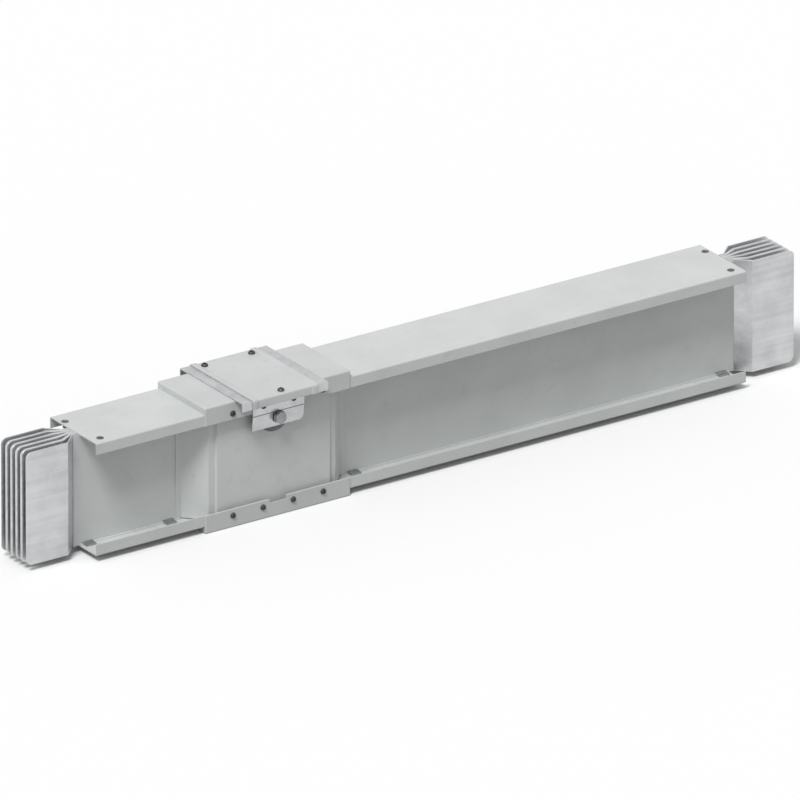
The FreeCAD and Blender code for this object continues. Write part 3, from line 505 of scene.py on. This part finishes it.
def speckled(name, colour, dull, waves, detail, rough, edge, strength, reach):
    """A finish of two close tones mixed by fine noise, which is its relief too, and its shader."""
    finish, tree, surface = finish_named(name)
    speck = grain(tree, EVEN, waves, detail, rough)
    tree.links.new(tint(tree, span(tree, speck, 0.35, 0.7), colour, dull), surface.inputs["Base Color"])
    tree.links.new(soft_edges(tree, edge, speck, strength, reach), surface.inputs["Normal"])
    return finish, surface


tinned_contact = rolled_metal("tinned_contact", (0.68, 0.68, 0.69), (0.56, 0.57, 0.58), 0.30)
dress(tinned_contact, "contact_plates")
red_mould, surface = speckled(
    "red_mould", (0.55, 0.14, 0.10), (0.46, 0.11, 0.08), 420.0, 3.0, 0.55, 0.0004, 0.1, 0.0001
)
surface.inputs["Roughness"].default_value = 0.45
dress(red_mould, "insulators", "bolt_sleeve")
cast_plate, surface = speckled(
    "cast_plate", (0.45, 0.46, 0.47), (0.36, 0.37, 0.38), 520.0, 5.0, 0.65, 0.0005, 0.4, 0.0003
)
surface.inputs["Metallic"].default_value = 1.0
surface.inputs["Roughness"].default_value = 0.6
dress(cast_plate, "front_pressure_plate", "rear_pressure_plate")

# Side covers of the joint: 2 mm steel, pressed out to a raised panel with shoulders and slopes that
# run down to feet on the side sheets. Same coat as the side sheets.
dress(side_grey, "front_side_cover", "rear_side_cover")

# Caps: shallow trays of 2 mm steel over and under the joint, with a notch in each flange for the
# bolt's head and nut, and screws through their flanges into the covers'.
cap_grey = powder_coat("cap_grey", (0.58, 0.60, 0.595), (0.535, 0.555, 0.55))
dress(cap_grey, "top_cap", "bottom_cap")

# Flange screws: thread-forming screws with a low domed head and a six-lobed recess, phosphated black.
# Eight to a side; the two inner ones at the top also pass through the lock plate or the bracket.
screw_dark = zinc_plate("screw_dark", (0.10, 0.10, 0.105), (0.06, 0.06, 0.064), 0.46, 1.6)
# The joint's middle in X, the flanges' faces off the mid-plane, the screws' heights and their distances
# from the joint's middle, and the sheet of the lock plate and the bracket.
JOINT_X = -295.5
FLANGE_FACE = 72.0
FLANGE_SCREW_LEVELS = {"bottom": 21.5, "top": 207.5}
FLANGE_SCREW_INNER, FLANGE_SCREW_OUTER = 30.4, 91.2
LOCK_SHEET = 2.0
# The shank's radius, its length and its thread's pitch and depth, with what stays plain at the tip
# and under the head.
SCREW_SHANK, SCREW_REACH = 2.5, 12.0
SCREW_PITCH, SCREW_THREAD, PLAIN_TIP, PLAIN_NECK = 1.4, 0.22, 1.6, 0.4


def lobed_screw(head, rise, recess, depth, around=48):
    """A screw in one skin from the recess's floor to the shank's tip.

    The recess's outline is r = recess * (1 + 0.14 cos 6t). The dome falls from the recess to the rim as
    rise * (1 - 0.45 s^2), s being the share of the way out, and the rim is a quarter of an ellipse."""
    turn = np.linspace(0.0, 2.0 * np.pi, around, endpoint=False)
    lobes = recess * (1.0 + 0.14 * np.cos(6.0 * turn))
    sunk = rise - depth

    def ring(radius, height):
        radius = np.broadcast_to(radius, turn.shape)
        height = np.broadcast_to(height, turn.shape)
        return np.stack([radius * np.cos(turn), radius * np.sin(turn), height], axis=-1)

    rings = [ring(lobes * 0.45, sunk - 0.25), ring(lobes * 0.92, sunk), ring(lobes, sunk + 0.2)]
    rings += [ring(lobes, rise - 0.12), ring(lobes + 0.1, rise)]
    for share in np.linspace(0.12, 1.0, 7):
        out = (lobes + 0.1) * (1.0 - share) + head * 0.47 * share
        rings.append(ring(out, rise * (1.0 - 0.45 * share**2)))
    for angle in np.radians(np.linspace(70.0, 0.0, 5)):
        rings.append(ring(head * (0.47 + 0.03 * np.cos(angle)), rise * 0.55 * np.sin(angle)))
    rings.append(ring(SCREW_SHANK, 0.0))
    thread = thread_rings(
        SCREW_SHANK, SCREW_THREAD, SCREW_PITCH, -SCREW_REACH + PLAIN_TIP, -PLAIN_NECK, around
    )
    rings += list(thread[::-1] / MM)
    rings.append(ring(SCREW_SHANK * 0.5, -SCREW_REACH))
    return np.array(rings)[::-1] * MM


def flange_seats():
    """Seats of the flange screws: out of each flange's face, or of the plate that lies on it."""
    seats = []
    for side in SIGNS:
        for level, z in FLANGE_SCREW_LEVELS.items():
            for along in (-FLANGE_SCREW_OUTER, -FLANGE_SCREW_INNER, FLANGE_SCREW_INNER, FLANGE_SCREW_OUTER):
                under = LOCK_SHEET if level == "top" and abs(along) == FLANGE_SCREW_INNER else 0.0
                seat = np.array([JOINT_X + along, side * (FLANGE_FACE + under), z])
                seats.append((seat * MM, np.array([0.0, side, 0.0])))
    return seats


turned_set(
    "flange_screw_set", lobed_screw(head=10.5, rise=3.2, recess=2.1, depth=2.2), flange_seats(), screw_dark,
    ["flange_screws"], spins=np.random.default_rng(7).uniform(0.0, 2.0 * np.pi, 16),
)

# Straps: two steel strips folded over both edges of the top cap, which hold the lid between them.
# Zinc plated, cloudy and finely scratched.
STRAP_TONES = ((0.56, 0.57, 0.58), (0.44, 0.45, 0.46))
strap_zinc = zinc_plate("strap_zinc", *STRAP_TONES, 0.33)
dress(strap_zinc, "left_strap", "right_strap")

# Lid: 2 mm steel pressed to a shallow channel, its two ends joggled up over the straps, coated as the
# caps and drilled for three screws. The lock plate and the rear bracket under it are zinc plated.
# The heights of the lid's top and of its lower edges, and its faces off the mid-plane.
LID_SHEET = 2.0
LID_TOP, LID_EDGE_Z, LID_FACE = 231.0, 215.6, 94.0
LID_SCREWS = [
    (np.array([JOINT_X + along, across, LID_TOP]) * MM, np.array([0.0, 0.0, 1.0]))
    for along, across in ((0.0, -81.04), (-47.5, 78.0), (47.5, 78.0))
]
LID_DRILL, DRILL_REACH, LID_BEND = 2.6, 6.0, 2.5
# Each way from the joint's middle: the joggle's start and run, and the lid's end, with one more station
# a step before both. The joggle lifts by 3 s^2 - 2 s^3 of a sheet, s being the share of its run.
JOGGLE_START, JOGGLE_RUN, LID_END, STATION_STEP = 54.2, 1.6, 66.0, 0.4


def drilled(piece, cutter):
    """Cut the space of a helper mesh out of a piece for good, and keep its edges crisp."""
    cut = piece.modifiers.new("holes", "BOOLEAN")
    cut.object = cutter
    cut.solver = "EXACT"
    whole = bpy.data.meshes.new_from_object(piece.evaluated_get(bpy.context.evaluated_depsgraph_get()))
    piece.modifiers.clear()
    piece.data = whole
    piece.data.set_sharp_from_angle(angle=np.radians(CREASE))
    bpy.data.objects.remove(cutter)


lid_line, lid_side = bent_path(
    [(LID_FACE, LID_EDGE_Z), (LID_FACE, LID_TOP), (-LID_FACE, LID_TOP), (-LID_FACE, LID_EDGE_Z)],
    LID_BEND, 6,
)
joggle = np.linspace(0.0, 1.0, 9)
lid_half = np.concatenate([
    [0.0, JOGGLE_START - STATION_STEP], JOGGLE_START + JOGGLE_RUN * joggle,
    [LID_END - STATION_STEP, LID_END],
])
lid_lift = np.concatenate([[0.0, 0.0], LID_SHEET * joggle**2 * (3.0 - 2.0 * joggle), [LID_SHEET, LID_SHEET]])
lid_ring = sheet_sections(
    lid_line, -lid_side, JOINT_X + np.concatenate([-lid_half[:0:-1], lid_half]),
    np.concatenate([lid_lift[:0:-1], lid_lift]), LID_SHEET,
)
lid = make_piece(
    "pressed_lid", lid_ring.reshape(-1, 3) * MM, sheet_faces(*lid_ring.shape[:2]), cap_grey,
    ["lid"],
)
drill_rings = round_rings([(LID_DRILL, -DRILL_REACH), (LID_DRILL, DRILL_REACH)], 32)
drilled(lid, turned_set("lid_drill", drill_rings, LID_SCREWS, cap_grey, None))
# A darker line is painted along the fold where the lock plate is bent inwards below the cap's flange, as
# painted shade in the crease: the fold's height, then how far off it the line fades out and how far it is
# full.
FOLD_Z, FOLD_REACH, FOLD_CORE = 191.5, 1.4, 0.5
zinc_with_painted_fold_shade = zinc_plate("zinc_with_painted_fold_shade", *STRAP_TONES, 0.33)
tree = zinc_with_painted_fold_shade.node_tree
surface = tree.nodes["Principled BSDF"]
place = put(tree, "ShaderNodeTexCoord").outputs["Object"]
height = put(tree, "ShaderNodeSeparateXYZ", Vector=place).outputs["Z"]
off_fold = combine(tree, "ABSOLUTE", combine(tree, "SUBTRACT", height, FOLD_Z * MM))
painted_fold_shade = span(tree, off_fold, FOLD_REACH * MM, FOLD_CORE * MM, 0.0, 0.85)
plated = surface.inputs["Base Color"].links[0].from_socket
# The painted shade: the plated colour darkened towards (0.12, 0.12, 0.125) in a band along the fold's height,
# on the lock plate and the rear bracket.
tree.links.new(tint(tree, painted_fold_shade, plated, (0.12, 0.12, 0.125)), surface.inputs["Base Color"])
dress(zinc_with_painted_fold_shade, "lock_plate", "rear_bracket")

# Lid screws: one at the front into the lock plate, two at the rear into the bracket. The same
# six-lobed screws in a larger size.
turned_set(
    "lid_screw_set", lobed_screw(head=12.0, rise=4.5, recess=2.5, depth=2.8), LID_SCREWS, screw_dark,
    ["lid_screws"], spins=[0.3, 1.1, 0.7],
)

# Joint bolt and nut: one M14 bolt across the whole stack, its head at the front inside the lock
# plate's window. Forged hexagons with turned chamfers, rolled thread where the nut goes.
# The bolt's height, and the faces that its head and nut sit on, off the mid-plane.
BOLT_Z, BOLT_SEAT = 181.0, 68.0
BOLT_RADIUS, BOLT_PITCH = 7.0, 2.0
BOLT_THREAD, NUT_THREAD, NUT_PLAIN = 0.35, 0.3, 0.4
ACROSS_FLATS, HEAD_RISE, NUT_RISE = 20.0, 15.0, 12.0
# A turned chamfer's circle as a share of the width across flats, and its slope in degrees.
CHAMFER_SHARE, CHAMFER_SLOPE = 0.475, 30.0
# Along the bolt from under its head: the thread's start and end, and the tip.
THREAD_FROM, THREAD_TO, BOLT_TIP = -136.0, -152.6, -153.0


def bolt_seats(distance, sides=SIDES):
    """Seats on the bolt's axis at a distance off the mid-plane, facing outwards."""
    signs = [dict(zip(SIDES, SIGNS))[side] for side in sides]
    return [
        (np.array([JOINT_X, sign * distance, BOLT_Z]) * MM, np.array([0.0, sign, 0.0])) for sign in signs
    ]


def hex_rings(low, high, shares, top=True, around=96):
    """Rings from inside a hexagon's face out to its corners, cut back by the chamfer's cone.

    The outline is r = half the width across flats over the cosine of the angle off the nearest flat. Up to
    a share of 1 a ring is a circle; beyond it goes over to the outline. Where r is beyond the chamfer's
    circle, the face falls by tan(slope) times the distance from it."""
    turn = np.linspace(0.0, 2.0 * np.pi, around, endpoint=False)
    off = (turn + np.pi / 6.0) % (np.pi / 3.0) - np.pi / 6.0
    edge = ACROSS_FLATS / 2.0 / np.cos(off)
    flat = ACROSS_FLATS * CHAMFER_SHARE
    rings = []
    for share in shares:
        far = np.full(around, flat * share) if share <= 1.0 else flat + (edge - flat) * (share - 1.0)
        fall = np.maximum(far - flat, 0.0) * np.tan(np.radians(CHAMFER_SLOPE))
        height = high - fall if top else low + fall
        rings.append(np.stack([far * np.cos(turn), far * np.sin(turn), height], axis=-1))
    return rings


out_shares = [1.0, 1.25, 1.5, 1.75, 2.0]
head = hex_rings(0.0, HEAD_RISE, [0.3, 0.7] + out_shares)
skirt = hex_rings(0.6, HEAD_RISE, out_shares[::-1], top=False)
neck_profile = [(9.4, 0.6), (9.3, 0.0), (7.4, 0.0), (BOLT_RADIUS, -0.5), (BOLT_RADIUS, THREAD_FROM)]
neck = list(round_rings(neck_profile, 96) / MM)
bolt_thread = thread_rings(BOLT_RADIUS - BOLT_THREAD, BOLT_THREAD, BOLT_PITCH, THREAD_TO, THREAD_FROM, 96)
bolt_thread = list(bolt_thread[::-1] / MM)
tip = list(round_rings([(5.6, BOLT_TIP)], 96) / MM)
# The bolt's, nut's and washers' edges are darkened to 0.7 of the colour: painted shade that outlines them.
bolt_zinc = zinc_plate("bolt_zinc", (0.33, 0.335, 0.34), (0.24, 0.245, 0.25), 0.34, 0.7)
turned_set(
    "through_bolt", np.array(head + skirt + neck + bolt_thread + tip)[::-1] * MM,
    bolt_seats(BOLT_SEAT, ["front"]), bolt_zinc, ["joint_bolt"], crease=FINE_CREASE,
)
nut_bore = thread_rings(BOLT_RADIUS, NUT_THREAD, BOLT_PITCH, NUT_PLAIN, NUT_RISE - NUT_PLAIN, 96)
nut_bore = list(nut_bore / MM)
nut_top = hex_rings(0.0, NUT_RISE, [0.82] + out_shares)
nut_bottom = hex_rings(0.0, NUT_RISE, out_shares[::-1] + [0.82], top=False)
turned_set(
    "bolt_nut", np.array(nut_bore + nut_top + nut_bottom)[::-1] * MM, bolt_seats(BOLT_SEAT, ["rear"]),
    bolt_zinc, ["joint_nut"], tube=True, crease=FINE_CREASE,
)

# Washers under the head and nut: a plain flat washer and a large dished spring washer of
# phosphated spring steel, which keeps the stack tight as it warms and cools.
FLAT_WASHER_SEAT, SPRING_WASHER_SEAT = 65.0, 59.0
flat_profile = [
    (7.1, 2.9), (7.1, 0.1), (7.3, 0.0), (15.7, 0.0), (16.0, 0.3), (16.0, 2.7), (15.7, 3.0), (7.3, 3.0)
]
turned_set(
    "flat_washer_pair", round_rings(flat_profile, 64), bolt_seats(FLAT_WASHER_SEAT), bolt_zinc,
    ["flat_washers"], tube=True,
)
# The dish runs in from its radius and rises on the way.
SPRING_SHEET, DISH_RADIUS, DISH_RUN, DISH_RISE = 2.5, 30.6, 23.2, 3.5
dish = np.linspace(0.0, 1.0, 9)
upper = np.stack([DISH_RADIUS - DISH_RUN * dish, SPRING_SHEET + DISH_RISE * dish], axis=-1)
lower = upper[::-1] - [0.0, SPRING_SHEET]
spring_profile = [(7.1, 5.8), (7.1, 3.7), *lower, (30.9, 0.2), (31.0, 0.5), (31.0, 2.1), (30.9, 2.4), *upper]
spring_steel = zinc_plate("spring_steel", (0.14, 0.145, 0.15), (0.09, 0.093, 0.096), 0.46, 1.5)
turned_set(
    "spring_washer_pair", round_rings(spring_profile, 96), bolt_seats(SPRING_WASHER_SEAT), spring_steel,
    ["spring_washers"], tube=True,
)

# Studio: a white floor that keeps the part's shadow, a pale even sky, and one broad distant lamp
# from the upper left. The camera has a very long lens, as the drawing is a parallel projection
# seen from 34.1 degrees left of the front and 23.2 degrees above.
LAMP_AIM = (0.46, 0.30, -0.84)
VIEW_TURN, VIEW_RISE = np.radians(-34.09), np.radians(23.201)
# In metres: the point in the picture's middle, and the width that the picture shows there.
VIEW_MIDDLE, VIEW_WIDTH = (0.02331, 0.03394, 0.09604), 1.34801
LENS, SENSOR = 1600.0, 36.0
bpy.ops.mesh.primitive_plane_add(size=200.0, location=(0.0, 0.0, 0.0))
floor = bpy.context.object
floor.name = "studio_floor"


def seen_directly(tree):
    """1 for what the camera, a reflection or a clear material shows, 0 for light that bounces on."""
    rays = tree.nodes.new("ShaderNodeLightPath")
    shown = rays.outputs["Is Camera Ray"]
    for name in ("Is Glossy Ray", "Is Transmission Ray"):
        shown = combine(tree, "MAXIMUM", shown, rays.outputs[name])
    return shown


white_floor, tree, surface = finish_named("white_floor")
floor_colour = tint(tree, seen_directly(tree), (0.42, 0.42, 0.42), (0.97, 0.97, 0.97))
tree.links.new(floor_colour, surface.inputs["Base Color"])
surface.inputs["Roughness"].default_value = 1.0
surface.inputs["Specular IOR Level"].default_value = 0.0
floor.data.materials.append(white_floor)

world = bpy.data.worlds.new("pale_sky")
bpy.context.scene.world = world
world.use_nodes = True
sky = world.node_tree
sky.nodes["Background"].inputs["Color"].default_value = (1.0, 1.0, 1.0, 1.0)
brightness = span(sky, seen_directly(sky), 0.0, 1.0, 0.44, 1.0)
sky.links.new(brightness, sky.nodes["Background"].inputs["Strength"])

lamp_data = bpy.data.lights.new("broad_lamp", "SUN")
lamp_data.energy = 2.2
lamp_data.angle = np.radians(18.0)
lamp = bpy.data.objects.new("broad_lamp", lamp_data)
bpy.context.scene.collection.objects.link(lamp)
lamp.rotation_euler = Vector(LAMP_AIM).to_track_quat("-Z", "Y").to_euler()

camera_data = bpy.data.cameras.new("camera")
camera_data.lens = LENS
camera_data.sensor_width = SENSOR
camera_data.clip_start = 1.0
camera_data.clip_end = 200.0
camera = bpy.data.objects.new("camera", camera_data)
bpy.context.scene.collection.objects.link(camera)
flat = np.cos(VIEW_RISE)
back = Vector((np.sin(VIEW_TURN) * flat, -np.cos(VIEW_TURN) * flat, np.sin(VIEW_RISE)))
camera.location = Vector(VIEW_MIDDLE) + back * (VIEW_WIDTH * LENS / SENSOR)
camera.rotation_mode = "QUATERNION"
camera.rotation_quaternion = (-back).to_track_quat("-Z", "Y")
bpy.context.scene.camera = camera
bpy.context.scene.view_settings.view_transform = "Standard"
